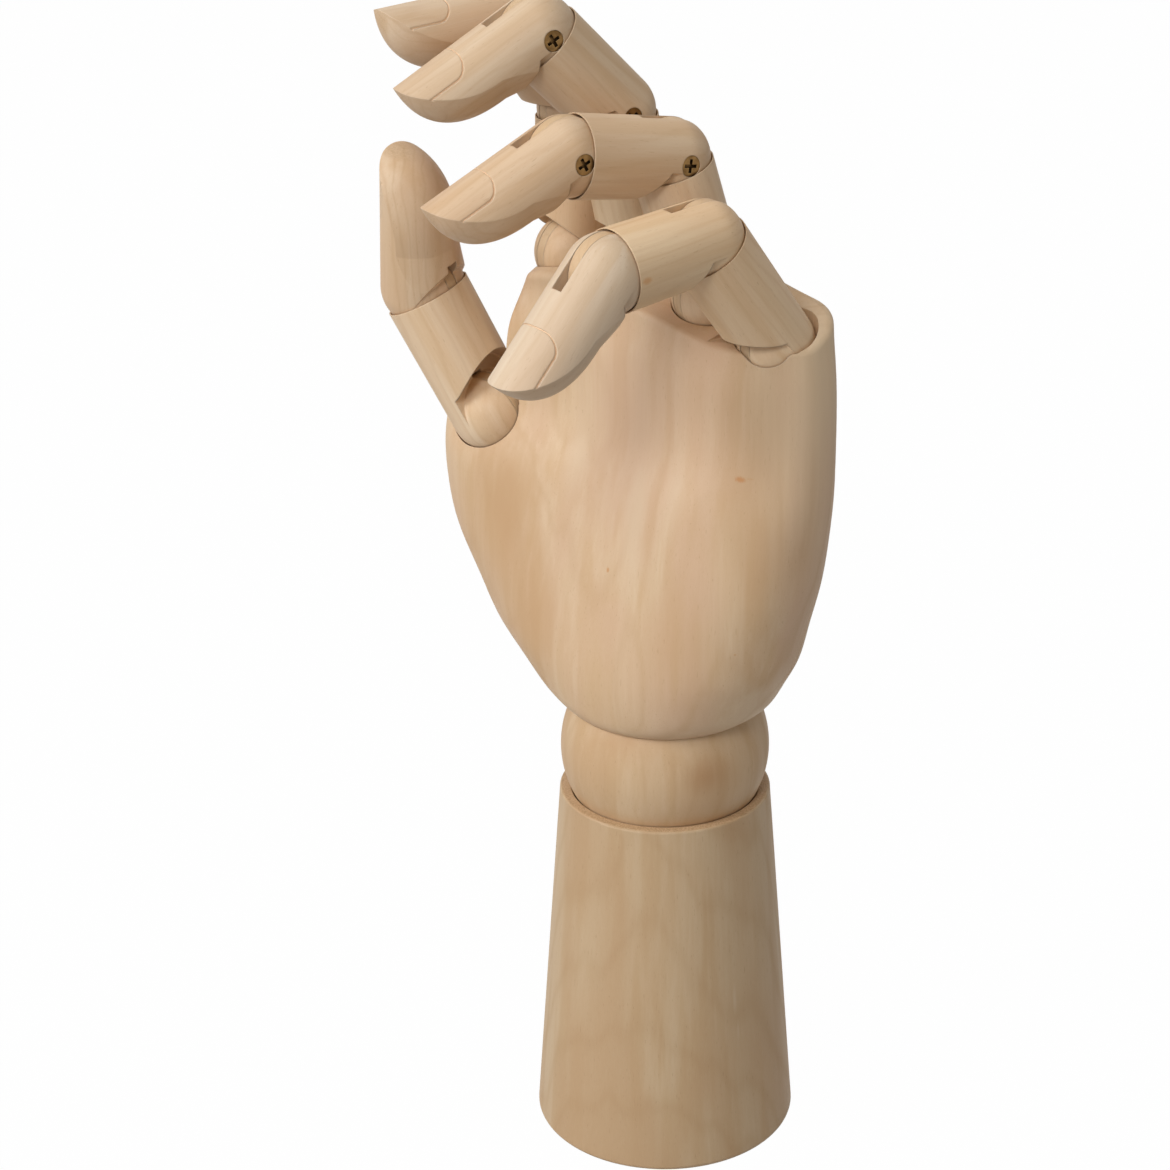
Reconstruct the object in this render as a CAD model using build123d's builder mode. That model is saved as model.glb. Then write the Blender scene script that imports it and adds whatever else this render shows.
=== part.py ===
from build123d import *
import math
import os

# Jointed wooden hand on a turned stand, in millimetres.
# The origin is the middle of the stand's foot, +Z is up, the palm faces -Y and the thumb is on the -X side.

# Fits
run_gap = 0.3        # between a ball or dome and the cup that it turns in
slip_gap = 0.2       # each side of a tongue in its saw slot
glue_gap = 0.05      # round a tongue in its mortise
pin_gap = 0.05       # round a screw in its hole
rest_gap = 0.03      # under a wire that hangs in an eye
overrun = 2.0        # how far a cutter runs past what it cuts
quarter_turn = 90

# Stand
stand_height = 91.4
foot_radius = 32.5
neck_radius = 25.65
foot_round = 1.2
neck_round = 0.5
stand_bore_radius = 8.0
stand_web_top = 31.0
foot_recess_radius = 12.0
foot_recess_depth = 13.0

# Wrist ball
ball_radius = 25.3
ball_rise = 11.0                 # ball centre above the stand's rim
ball_neck_radius = 6.2           # its bore is narrowest in the middle
ball_mouth_radius = 12.5
ball_height = stand_height + ball_rise

# Eye bolt, washer and nut that hold the wrist spring down
bolt_radius = 2.0
bolt_tail_height = 3.0
bolt_eye_radius = 3.6
bolt_eye_wire = 1.0
bolt_eye_height = stand_web_top + bolt_eye_radius + bolt_eye_wire + rest_gap
washer_radius = 8.5
washer_thickness = 1.2
nut_across_flats = 7.0
nut_thickness = 3.2

# Springs, each with a wire ring at both ends
wrist_spring_radius = 4.4
wrist_spring_wall = 1.1
wrist_hook_radius = 3.4
wrist_hook_wire = 0.7
wrist_hook_sag = 0.25
spring_radius = 3.1
spring_wall = 0.8
hook_radius = 3.0
hook_wire = 0.5
hook_sag = 0.1

# Screw eyes that hold the springs inside the palm
eye_radius = 2.1
eye_wire = 0.7
eye_shank_radius = 0.9
eye_shank_length = 7.0
wrist_eye_radius = 2.9
wrist_eye_wire = 0.9
wrist_eye_shank_radius = 1.1
wrist_eye_shank_length = 9.0

# Finger joints
dome_radius = 8.9
body_radius = 9.2                # at the cupped end, a little over the dome
tongue_thickness = 2.8
tongue_end_radius = 8.7
tongue_stem_width = 10.0
tongue_stem_length = 14.0
slot_depth = 9.3                 # saw slot past the pivot
rim_setback = 2.1                # cup rim to the next pivot
scoop_gap = 0.4
scoop_height = 1.6               # the scoop on the palm side starts below the pivot
scoop_rise = 0.7                 # and its round top is centred above the pivot
thumb_scoop_rise = 3.6           # which the thumb has higher
knuckle_stem_width = 7.0
knuckle_stem_length = 21.0
knuckle_bore_radius = 5.0
knuckle_bore_depth = 43.0
stem_hole_radius = 1.0
stem_hole_inset = 3.0

# Brass screws
screw_radius = 1.4
screw_head_radius = 2.3
screw_head_depth = 1.5
screw_recess = 0.45              # head below the wood
screw_length = 14.2
cross_width = 0.75
cross_span = 3.0
cross_depth = 1.0

# Phalanges of the four fingers
proximal_length = 34.0
middle_length = 26.5
tip_length = 33.0
pad_length = 19.0                # the rounded part of the tip
pad_depth = 15.9
pad_belly = 17.7                 # its depth where it has run out into the round body
pad_squeeze_share = 0.675        # the pad's width against its depth
pad_power = 2.4
pad_steps = 12
nail_length = 15.0
nail_half_width = 7.2
nail_corner = 4.0
nail_line = 0.3
nail_line_depth = 0.3

# Thumb, a little thicker than the fingers
thumb_scale = 1.11
thumb_proximal_length = 34.3
thumb_tip_length = 35.0
thumb_notch_slope = 62           # the thumb has a straight notch in place of the scoop
thumb_notch_start = 4.1

# Knuckles: place of the dome centre, turn towards the thumb, bends of the three joints, side of the screw heads
knuckles = {
    "index": ((-29.5, 2.5, 220.0), 18.6, (-2.3, 38.3, 58.6), 1),
    "middle": ((-6.0, -1.0, 225.0), 24.5, (10.5, 34.5, 75), 1),
    "ring": ((13.6, -1.0, 219.2), 20, (18, 63.5, 35), 1),
    "little": ((32.5, -2.0, 212.0), 12.5, (37.5, 57.5, 42.5), -1),
}
thumb_seat = (-43.3, -11.5, 181.6)
thumb_lean = 27
thumb_heading = 33
thumb_roll = 146
thumb_bend = 38
thumb_screw_side = 1

# Palm, level by level: height above the foot, half width on the thumb side and on the little finger's side,
# depth of the front and of the back, how far the thumb's mound stands forward, how deep the hollow is,
# where the hollow's middle is, squareness
palm_levels = (
    (114.6, 23.0, 23.0, 23.0, 23.0, 0, 0, 0, 2.0),
    (116.2, 26.0, 25.2, 24.6, 23.8, 0, 0, 0, 2.02),
    (119.0, 31.5, 28.0, 25.6, 24.2, 0.3, 0, 0, 2.06),
    (124.0, 37.0, 31.0, 26.2, 24.0, 1.0, 0, 0, 2.12),
    (131.0, 44.1, 34.9, 26.0, 23.2, 2.3, 0, -6.0, 2.2),
    (140.0, 48.9, 37.7, 25.0, 22.0, 4.0, 0.5, -8.0, 2.3),
    (152.0, 54.8, 41.2, 23.2, 20.5, 6.0, 1.4, -10.0, 2.4),
    (165.0, 57.1, 43.4, 21.2, 19.5, 7.6, 2.6, -14.0, 2.5),
    (175.0, 57.7, 44.5, 19.0, 19.1, 8.0, 3.6, -18.0, 2.5),
    (184.0, 59.9, 44.7, 15.9, 18.7, 3.5, 3.8, -22.0, 2.55),
    (194.0, 58.8, 44.7, 15.0, 18.2, 1.0, 3.2, -20.0, 2.6),
    (206.0, 56.5, 44.1, 14.4, 17.4, 0, 2.4, -18.0, 2.7),
    (220.0, 54.0, 43.5, 13.6, 16.4, 0, 1.8, -16.0, 2.75),
    (234.0, 53.5, 43.1, 12.4, 15.4, 0, 1.0, -14.0, 2.75),
)
hollow_reach = 20.0
outline_steps = 36
arch = (                         # the top's curve through the middle of the knuckles
    (-70.0, 200.0),
    (-36.5, 217.5),
    (-30.0, 220.5),
    (-25.0, 221.0),
    (-6.0, 220.0),
    (13.5, 217.2),
    (31.0, 214.8),
    (39.5, 214.8),
    (45.5, 211.5),
    (56.0, 200.0),
)
top_rise = 0.33                  # the top rises towards the back
roof_height = palm_levels[-1][0] + 8 * overrun    # cutters reach past the uncut palm
shoulder_height = 185.3          # step beside the thumb, through the middle
shoulder_rise = 0.45             # the step rises towards the back
index_side = (                   # the palm's side above the step, through the middle
    (-40.3, 183.0),
    (-39.6, 194.0),
    (-38.2, 205.0),
    (-36.2, 215.0),
    (-33.2, 222.0),
    (-28.5, 228.0),
)
index_floor = 170.0              # every edge that is rounded lies above this
step_round = 5.0
rim_round = 1.8                  # round the arched top, the side and the step
seam_reach = 0.5                 # edges nearer to the middle plane than this stay sharp
wrist_bore_radius = 9.0
wrist_bore_top = 141.5


def write(part, name, place=Location()):
    """Put a piece in its place, name it and write it."""
    piece = part.moved(place)
    piece.label = name
    export_step(piece, f"parts/{name}.step")


def joint_sizes(scale):
    """The sizes that the thumb has larger than the fingers."""
    return {
        "dome": dome_radius * scale,
        "body": body_radius * scale,
        "cup": dome_radius * scale + run_gap,
        "setback": rim_setback * scale,
        "tongue_end": tongue_end_radius * scale,
        "slot_depth": slot_depth * scale,
        "scale": scale,
    }


def wire_ring(radius, wire, height, across):
    """A closed wire ring round the X axis or the Y axis, its middle at the given height."""
    with BuildPart() as made:
        with BuildSketch(Plane.XY):
            with Locations((radius, 0) if across == "Y" else (0, radius)):
                Circle(wire)
        revolve(axis=Axis.Y if across == "Y" else Axis.X)
    return made.part.moved(Location((0, 0, height)))


def spring(top, bottom, radius, wall, ring, wire):
    """A closely wound spring as a tube, with a ring through the hole above and one through the eye below."""
    tube_top = top - 2 * ring
    tube_bottom = bottom + 2 * ring
    length = tube_top - tube_bottom
    with BuildPart() as made:
        with Locations((0, 0, tube_bottom)):
            Cylinder(radius, length, align=(Align.CENTER, Align.CENTER, Align.MIN))
        with Locations((0, 0, tube_bottom + wall)):
            Cylinder(
                radius - wall,
                length - 2 * wall,
                align=(Align.CENTER, Align.CENTER, Align.MIN),
                mode=Mode.SUBTRACT,
            )
        add(wire_ring(ring, wire, top - ring, "Y"))
        add(wire_ring(ring, wire, bottom + ring, "X"))
    return made.part


def screw_eye(radius, wire, shank_radius, shank_length):
    """A ring round the Y axis with a plain shank that stands down from it."""
    with BuildPart() as made:
        add(wire_ring(radius, wire, 0, "Y"))
        with Locations((0, 0, -radius)):
            Cylinder(shank_radius, shank_length, align=(Align.CENTER, Align.CENTER, Align.MAX))
    return made.part


def screw(size, side):
    """A brass countersunk screw along the pivot, its head on the given side."""
    top = size["dome"] - screw_recess
    with BuildPart() as made:
        with BuildSketch(Plane.XZ):
            with BuildLine():
                Polyline(
                    (0, top),
                    (screw_head_radius, top),
                    (screw_head_radius, top - screw_recess / 2),
                    (screw_radius, top - screw_head_depth),
                    (screw_radius, top - screw_length * size["scale"]),
                    (0, top - screw_length * size["scale"]),
                    close=True,
                )
            make_face()
        revolve(axis=Axis.Z)
        with BuildSketch(Plane.XY.offset(top)):
            Rectangle(cross_span, cross_width)
            Rectangle(cross_width, cross_span)
        extrude(amount=-cross_depth, mode=Mode.SUBTRACT)
    return made.part.rotate(Axis.Y, quarter_turn * side)


def screw_hole(size, side):
    """What the wood loses for a screw."""
    top = size["dome"] - screw_recess
    wide = screw_head_radius + pin_gap
    thin = screw_radius + pin_gap
    tail = top - screw_length * size["scale"] - pin_gap
    with BuildPart() as made:
        with BuildSketch(Plane.XZ):
            with BuildLine():
                Polyline(
                    (0, size["body"] + overrun),
                    (wide, size["body"] + overrun),
                    (wide, top - screw_recess / 2),
                    (thin, top - screw_head_depth),
                    (thin, tail),
                    (0, tail),
                    close=True,
                )
            make_face()
        revolve(axis=Axis.Z)
    return made.part.rotate(Axis.Y, quarter_turn * side)


def tongue(size, stem_width, stem_length, spring_hole=False):
    """A flat tongue with a round end about the pivot and a stem below it."""
    with BuildPart() as made:
        with BuildSketch(Plane.YZ):
            Circle(size["tongue_end"])
            with Locations((0, -stem_length / 2)):
                Rectangle(stem_width, stem_length)
            Circle(screw_radius + pin_gap, mode=Mode.SUBTRACT)
            if spring_hole:
                with Locations((0, stem_hole_inset - stem_length)):
                    Circle(stem_hole_radius, mode=Mode.SUBTRACT)
        extrude(amount=tongue_thickness / 2, both=True)
    return made.part


def scoop(size, rise):
    """The round scoop on the palm side that lets the next piece in at a right angle."""
    with BuildPart() as made:
        with BuildSketch(Plane.XZ.offset(scoop_height)):
            Circle(size["body"] + scoop_gap)
            with Locations((0, rise)):
                Circle(size["body"] + scoop_gap)
        extrude(amount=2 * size["body"])
        Sphere(size["dome"], mode=Mode.SUBTRACT)
    return made.part


def notch(size):
    """The straight notch on the palm side of the thumb's joint."""
    slope = math.tan(math.radians(thumb_notch_slope))
    reach = 2 * size["body"]
    with BuildPart() as made:
        with BuildSketch(Plane.YZ):
            with BuildLine():
                Polyline(
                    (-thumb_notch_start, 0),
                    (-reach, (reach - thumb_notch_start) * slope),
                    (-reach, -reach),
                    (-thumb_notch_start, -reach),
                    close=True,
                )
            make_face()
        extrude(amount=size["body"] + overrun, both=True)
        Sphere(size["dome"], mode=Mode.SUBTRACT)
    return made.part


def saw_slot(size):
    """The slot that takes the tongue, open round the dome."""
    with BuildPart() as made:
        with Locations((0, 0, size["slot_depth"])):
            Box(
                tongue_thickness + 2 * slip_gap,
                4 * size["dome"],
                4 * size["dome"],
                align=(Align.CENTER, Align.CENTER, Align.MAX),
            )
    return made.part


def phalanx(length, size, side, relief):
    """A turned phalanx: slotted dome at the pivot, cup and mortise for the next joint at its far end."""
    rim = length - size["setback"]
    with BuildPart() as made:
        with BuildSketch(Plane.XZ):
            with BuildLine():
                CenterArc((0, 0), size["dome"], -quarter_turn, quarter_turn)
                Polyline((size["dome"], 0), (size["body"], rim), (0, rim), (0, -size["dome"]))
            make_face()
        revolve(axis=Axis.Z)
        with Locations((0, 0, length)):
            Sphere(size["cup"], mode=Mode.SUBTRACT)
        with Locations((0, 0, length - tongue_stem_length - glue_gap)):
            Box(
                tongue_thickness + 2 * glue_gap,
                tongue_stem_width + 2 * glue_gap,
                tongue_stem_length,
                align=(Align.CENTER, Align.CENTER, Align.MIN),
                mode=Mode.SUBTRACT,
            )
        add(saw_slot(size), mode=Mode.SUBTRACT)
        add(relief, mode=Mode.SUBTRACT)
        add(screw_hole(size, side), mode=Mode.SUBTRACT)
    return made.part


def pad(length, size):
    """The rounded shape that trims the palm side and the end of a fingertip."""
    scale = size["scale"]
    top = size["dome"]
    start = length - pad_length * scale
    power = 2 / pad_power
    curve = []
    for step in range(pad_steps + 1):
        turn = math.radians(quarter_turn * step / pad_steps)
        depth = pad_depth * scale * abs(math.cos(turn)) ** power
        rise = pad_length * scale * math.sin(turn) ** power
        curve.append((depth if step < pad_steps else 0, start + rise))
    with BuildPart() as made:
        with BuildSketch(Plane.XZ):
            with BuildLine():
                Spline(curve)
                Polyline(
                    curve[-1],
                    (0, -2 * top),
                    (pad_belly * scale, -2 * top),
                    (pad_belly * scale, size["slot_depth"] / 2),
                    curve[0],
                )
            make_face()
        revolve(axis=Axis.Z)
    squeezed = scale_width(made.part, pad_squeeze_share)
    return squeezed.moved(Location((0, top, 0)))


def scale_width(part, share):
    """Make a shape narrower along X."""
    with BuildPart() as made:
        add(part)
        scale(by=(share, 1, 1))
    return made.part


def nail_groove(length, size):
    """The fine line cut round the nail."""
    scale_here = size["scale"]
    half = nail_half_width * scale_here
    long = nail_length * scale_here
    with BuildPart() as made:
        with BuildSketch(Plane.XZ):
            with Locations((0, length)):
                RectangleRounded(2 * half, 2 * long, nail_corner)
                RectangleRounded(
                    2 * (half - nail_line), 2 * (long - nail_line), nail_corner - nail_line, mode=Mode.SUBTRACT
                )
        extrude(amount=-2 * size["dome"])
        with Locations((0, 0, length)):
            Cylinder(size["dome"] - nail_line_depth, 4 * long, mode=Mode.SUBTRACT)
    return made.part


def fingertip(length, size, side, relief):
    """The last phalanx: straight back with a nail, rounded pad, slotted dome at the pivot."""
    with BuildPart() as made:
        with BuildSketch(Plane.XZ):
            with BuildLine():
                CenterArc((0, 0), size["dome"], -quarter_turn, quarter_turn)
                Polyline((size["dome"], 0), (size["dome"], length), (0, length), (0, -size["dome"]))
            make_face()
        revolve(axis=Axis.Z)
        add(pad(length, size), mode=Mode.INTERSECT)
        add(nail_groove(length, size), mode=Mode.SUBTRACT)
        add(saw_slot(size), mode=Mode.SUBTRACT)
        add(relief, mode=Mode.SUBTRACT)
        add(screw_hole(size, side), mode=Mode.SUBTRACT)
    return made.part


def finger_frames(seat, turn, bends):
    """The planes of a finger's knuckle and of its three pieces: X along the hinge, Z along the piece."""
    swing = math.radians(turn)
    curl = Vector(-math.sin(swing), -math.cos(swing), 0)
    hinge = Vector(math.cos(swing), -math.sin(swing), 0)
    planes = [Plane(origin=seat, x_dir=hinge, z_dir=(0, 0, 1))]
    origin = Vector(*seat)
    bend = 0
    for step, length in zip(bends, (proximal_length, middle_length, tip_length)):
        bend += math.radians(step)
        along = Vector(0, 0, 1) * math.cos(bend) + curl * math.sin(bend)
        planes.append(Plane(origin=origin, x_dir=hinge, z_dir=along))
        origin = origin + along * length
    return planes


def thumb_frames():
    """The planes of the thumb's seat, of its first piece and of its tip."""
    lean, heading = math.radians(thumb_lean), math.radians(thumb_heading)
    roll, bend = math.radians(thumb_roll), math.radians(thumb_bend)
    up = Vector(0, 0, 1)
    out = Vector(-math.cos(heading), -math.sin(heading), 0)
    along = up * math.cos(lean) + out * math.sin(lean)
    first = out * math.cos(lean) - up * math.sin(lean)
    inward = first * math.cos(roll) + along.cross(first) * math.sin(roll)
    hinge = along.cross(inward)
    tip_along = along * math.cos(bend) + inward * math.sin(bend)
    tip_origin = Vector(*thumb_seat) + along * thumb_proximal_length
    return [
        Plane(origin=thumb_seat, x_dir=hinge, z_dir=along),
        Plane(origin=tip_origin, x_dir=hinge, z_dir=tip_along),
    ]


def palm_outline(level):
    """One level of the carved palm as a closed curve worked out by a formula."""
    height, thumb_half, little_half, front, back, mound, hollow, hollow_middle, squareness = level
    power = 2 / squareness
    points = []
    for step in range(outline_steps):
        turn = 2 * math.pi * (step + 0.5) / outline_steps
        across, along = math.cos(turn), math.sin(turn)
        half = little_half if across > 0 else thumb_half
        deep = back if along > 0 else front
        x = math.copysign(half * abs(across) ** power, across)
        y = math.copysign(deep * abs(along) ** power, along)
        if across < 0:
            y -= mound * (x / half) ** 2
        if along < 0:
            y += hollow * math.exp(-(((x - hollow_middle) / hollow_reach) ** 2)) * abs(along)
        points.append((x, y))
    with BuildSketch(Plane.XY.offset(height)) as made:
        with BuildLine():
            Spline(points, periodic=True)
        make_face()
    return made.sketch


def above_arch(way):
    """What is cut off above the arched top, from the middle forward or backward."""
    with BuildPart() as made:
        with BuildSketch(Plane.XZ):
            with BuildLine():
                Spline(arch)
                Polyline(arch[-1], (arch[-1][0], roof_height), (arch[0][0], roof_height), arch[0])
            make_face()
        extrude(amount=2 * arch[-1][0], dir=(0, way, way * top_rise))
    return made.part


def shoulder_cut(way):
    """What is cut off beside the index finger to make the step for the thumb, from the middle forward or backward."""
    far = 2 * arch[0][0]
    with BuildPart() as made:
        with BuildSketch(Plane.XZ) as outline:
            with BuildLine():
                Spline(index_side)
                Polyline(
                    index_side[-1],
                    (index_side[-1][0], roof_height),
                    (far, roof_height),
                    (far, index_side[0][1]),
                    index_side[0],
                )
            make_face()
            with Locations((far, 0)):
                Rectangle(
                    -2 * far, shoulder_height, align=(Align.CENTER, Align.MIN), mode=Mode.SUBTRACT
                )
            fillet(outline.vertices().group_by(Axis.Y)[0].sort_by(Axis.X)[-1], step_round)
        extrude(amount=2 * arch[-1][0], dir=(0, way, way * shoulder_rise))
    return made.part


def seat_cut(size, open_front):
    """The cup, the bore and the screw eye's hole for one finger or the thumb, below the dome centre."""
    wide = 2 * (size["body"] + run_gap)
    with BuildPart() as made:
        Sphere(size["cup"])
        if open_front:
            Box(wide, wide, wide, align=(Align.CENTER, Align.MAX, Align.MIN))
        Cylinder(
            size["body"] + run_gap, 3 * size["body"], align=(Align.CENTER, Align.CENTER, Align.MIN)
        )
        Cylinder(knuckle_bore_radius, knuckle_bore_depth, align=(Align.CENTER, Align.CENTER, Align.MAX))
        with Locations((0, 0, -knuckle_bore_depth)):
            Cylinder(
                eye_shank_radius + pin_gap,
                eye_shank_length + pin_gap,
                align=(Align.CENTER, Align.CENTER, Align.MAX),
            )
    return made.part


os.makedirs("parts", exist_ok=True)

finger_size = joint_sizes(1)
thumb_size = joint_sizes(thumb_scale)
finger_planes = {name: finger_frames(*row[:3]) for name, row in knuckles.items()}
thumb_planes = thumb_frames()

# Stand: turned cone with the ball's seat on top, a bore for the spring and a recess for the nut
with BuildPart() as stand:
    with BuildSketch(Plane.XZ):
        with BuildLine():
            Polyline((0, 0), (foot_radius, 0), (neck_radius, stand_height), (0, stand_height), close=True)
        make_face()
    revolve(axis=Axis.Z)
    fillet(stand.edges().filter_by(GeomType.CIRCLE).sort_by(Axis.Z)[0], foot_round)
    fillet(stand.edges().filter_by(GeomType.CIRCLE).sort_by(Axis.Z)[-1], neck_round)
    with Locations((0, 0, ball_height)):
        Sphere(ball_radius + run_gap, mode=Mode.SUBTRACT)
    with Locations((0, 0, stand_web_top)):
        Cylinder(
            stand_bore_radius,
            stand_height,
            align=(Align.CENTER, Align.CENTER, Align.MIN),
            mode=Mode.SUBTRACT,
        )
    Cylinder(
        foot_recess_radius,
        foot_recess_depth,
        align=(Align.CENTER, Align.CENTER, Align.MIN),
        mode=Mode.SUBTRACT,
    )
    Cylinder(
        bolt_radius + pin_gap,
        stand_web_top + overrun,
        align=(Align.CENTER, Align.CENTER, Align.MIN),
        mode=Mode.SUBTRACT,
    )
write(stand.part, "base")

# Eye bolt that runs up through the stand's web
with BuildPart() as eye_bolt:
    with Locations((0, 0, bolt_tail_height)):
        Cylinder(
            bolt_radius,
            bolt_eye_height - bolt_eye_radius - bolt_tail_height,
            align=(Align.CENTER, Align.CENTER, Align.MIN),
        )
    add(wire_ring(bolt_eye_radius, bolt_eye_wire, bolt_eye_height, "Y"))
write(eye_bolt.part, "wrist_eye_bolt")

with BuildPart() as washer:
    with BuildSketch(Plane.XY.offset(foot_recess_depth)):
        Circle(washer_radius)
        Circle(bolt_radius + pin_gap, mode=Mode.SUBTRACT)
    extrude(amount=-washer_thickness)
write(washer.part, "anchor_washer")

with BuildPart() as nut:
    with BuildSketch(Plane.XY.offset(foot_recess_depth - washer_thickness)):
        RegularPolygon(nut_across_flats / 2, 6, major_radius=False)
        Circle(bolt_radius, mode=Mode.SUBTRACT)
    extrude(amount=-nut_thickness)
write(nut.part, "anchor_nut")

# Ball between the stand and the palm, bored wide at both ends so that the spring can bend
with BuildPart() as ball:
    with Locations((0, 0, ball_height)):
        Sphere(ball_radius)
        Cylinder(ball_neck_radius, 2 * ball_radius, mode=Mode.SUBTRACT)
        Cone(
            0,
            ball_mouth_radius,
            ball_radius,
            align=(Align.CENTER, Align.CENTER, Align.MIN),
            mode=Mode.SUBTRACT,
        )
        Cone(
            ball_mouth_radius,
            0,
            ball_radius,
            align=(Align.CENTER, Align.CENTER, Align.MAX),
            mode=Mode.SUBTRACT,
        )
write(ball.part, "wrist_ball")

# Wrist spring and the screw eye that it hangs from
wrist_eye_height = wrist_bore_top - wrist_eye_radius - wrist_eye_wire - rest_gap
wrist_spring_top = wrist_eye_height - wrist_eye_radius + wrist_eye_wire + wrist_hook_wire + wrist_hook_sag
wrist_spring_bottom = bolt_eye_height + bolt_eye_radius - bolt_eye_wire - wrist_hook_wire - wrist_hook_sag
wrist_spring_part = spring(
    wrist_spring_top,
    wrist_spring_bottom,
    wrist_spring_radius,
    wrist_spring_wall,
    wrist_hook_radius,
    wrist_hook_wire,
)
write(wrist_spring_part, "wrist_spring")
wrist_eye_part = screw_eye(wrist_eye_radius, wrist_eye_wire, wrist_eye_shank_radius, wrist_eye_shank_length)
upside_down = Location((0, 0, wrist_eye_height), (2 * quarter_turn, 0, quarter_turn))
write(wrist_eye_part, "wrist_anchor_eye", upside_down)

# Palm: carved block, then the seats for the ball, the fingers and the thumb
with BuildPart() as palm:
    loft(sections=[palm_outline(level) for level in palm_levels])
    add(above_arch(-1), mode=Mode.SUBTRACT)
    add(above_arch(1), mode=Mode.SUBTRACT)
    add(shoulder_cut(-1), mode=Mode.SUBTRACT)
    add(shoulder_cut(1), mode=Mode.SUBTRACT)
    carved = palm.edges().filter_by(GeomType.BSPLINE).filter_by_position(Axis.Z, index_floor, roof_height)
    fillet([edge for edge in carved if abs(edge.center().Y) > seam_reach], rim_round)
    with Locations((0, 0, ball_height)):
        Sphere(ball_radius + run_gap, mode=Mode.SUBTRACT)
        Cylinder(
            wrist_bore_radius,
            wrist_bore_top - ball_height,
            align=(Align.CENTER, Align.CENTER, Align.MIN),
            mode=Mode.SUBTRACT,
        )
    with Locations((0, 0, wrist_bore_top)):
        Cylinder(
            wrist_eye_shank_radius + pin_gap,
            wrist_eye_shank_length + pin_gap,
            align=(Align.CENTER, Align.CENTER, Align.MIN),
            mode=Mode.SUBTRACT,
        )
    for planes in finger_planes.values():
        add(seat_cut(finger_size, True).moved(planes[0].location), mode=Mode.SUBTRACT)
    add(seat_cut(thumb_size, False).moved(thumb_planes[0].location), mode=Mode.SUBTRACT)
write(palm.part, "palm")

# Screw eyes at the bottom of the five finger bores
anchor_depth = knuckle_bore_depth - eye_radius - eye_wire - rest_gap
seats = [planes[0] for planes in finger_planes.values()] + [thumb_planes[0]]
with BuildPart() as anchors:
    for seat in seats:
        eye = screw_eye(eye_radius, eye_wire, eye_shank_radius, eye_shank_length)
        add(eye.moved(seat.location * Location((0, 0, -anchor_depth))))
write(anchors.part, "finger_anchor_eyes")

# Springs and tongues of the knuckles
spring_top = stem_hole_inset - knuckle_stem_length - hook_sag
spring_bottom = eye_radius - eye_wire - hook_wire - hook_sag - anchor_depth
knuckle_spring = spring(spring_top, spring_bottom, spring_radius, spring_wall, hook_radius, hook_wire)

# Fingers
for name, (seat, turn, bends, side) in knuckles.items():
    knuckle_plane, proximal_plane, middle_plane, tip_plane = finger_planes[name]
    relief = scoop(finger_size, scoop_rise)
    joint_tongue = tongue(finger_size, tongue_stem_width, tongue_stem_length)
    driven = screw(finger_size, side)
    knuckle_tongue = tongue(finger_size, knuckle_stem_width, knuckle_stem_length, spring_hole=True)
    write(knuckle_tongue, f"{name}_knuckle_tongue", knuckle_plane.location)
    write(knuckle_spring, f"{name}_knuckle_spring", knuckle_plane.location)
    write(phalanx(proximal_length, finger_size, side, relief), f"{name}_proximal_phalanx", proximal_plane.location)
    write(driven, f"{name}_proximal_screw", proximal_plane.location)
    proximal_end = proximal_plane.location * Location((0, 0, proximal_length))
    write(joint_tongue, f"{name}_proximal_tongue", proximal_end)
    write(phalanx(middle_length, finger_size, side, relief), f"{name}_middle_phalanx", middle_plane.location)
    write(driven, f"{name}_middle_screw", middle_plane.location)
    middle_end = middle_plane.location * Location((0, 0, middle_length))
    write(joint_tongue, f"{name}_middle_tongue", middle_end)
    write(fingertip(tip_length, finger_size, side, relief), f"{name}_fingertip", tip_plane.location)
    write(driven, f"{name}_fingertip_screw", tip_plane.location)

# Thumb
seat_plane, thumb_tip_plane = thumb_planes
thumb_driven = screw(thumb_size, thumb_screw_side)
thumb_knuckle_tongue = tongue(thumb_size, knuckle_stem_width, knuckle_stem_length, spring_hole=True)
write(thumb_knuckle_tongue, "thumb_knuckle_tongue", seat_plane.location)
write(knuckle_spring, "thumb_knuckle_spring", seat_plane.location)
thumb_relief = scoop(thumb_size, thumb_scoop_rise)
thumb_first = phalanx(thumb_proximal_length, thumb_size, thumb_screw_side, thumb_relief)
write(thumb_first, "thumb_proximal_phalanx", seat_plane.location)
write(thumb_driven, "thumb_proximal_screw", seat_plane.location)
thumb_end = seat_plane.location * Location((0, 0, thumb_proximal_length))
write(tongue(thumb_size, tongue_stem_width, tongue_stem_length), "thumb_proximal_tongue", thumb_end)
thumb_last = fingertip(thumb_tip_length, thumb_size, thumb_screw_side, notch(thumb_size))
write(thumb_last, "thumb_tip", thumb_tip_plane.location)
write(thumb_driven, "thumb_tip_screw", thumb_tip_plane.location)
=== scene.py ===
"""Finishes, wound springs, light and camera for a jointed wooden drawing hand on a turned stand."""

import math

import bmesh
import bpy
from mathutils import Matrix, Vector


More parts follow.
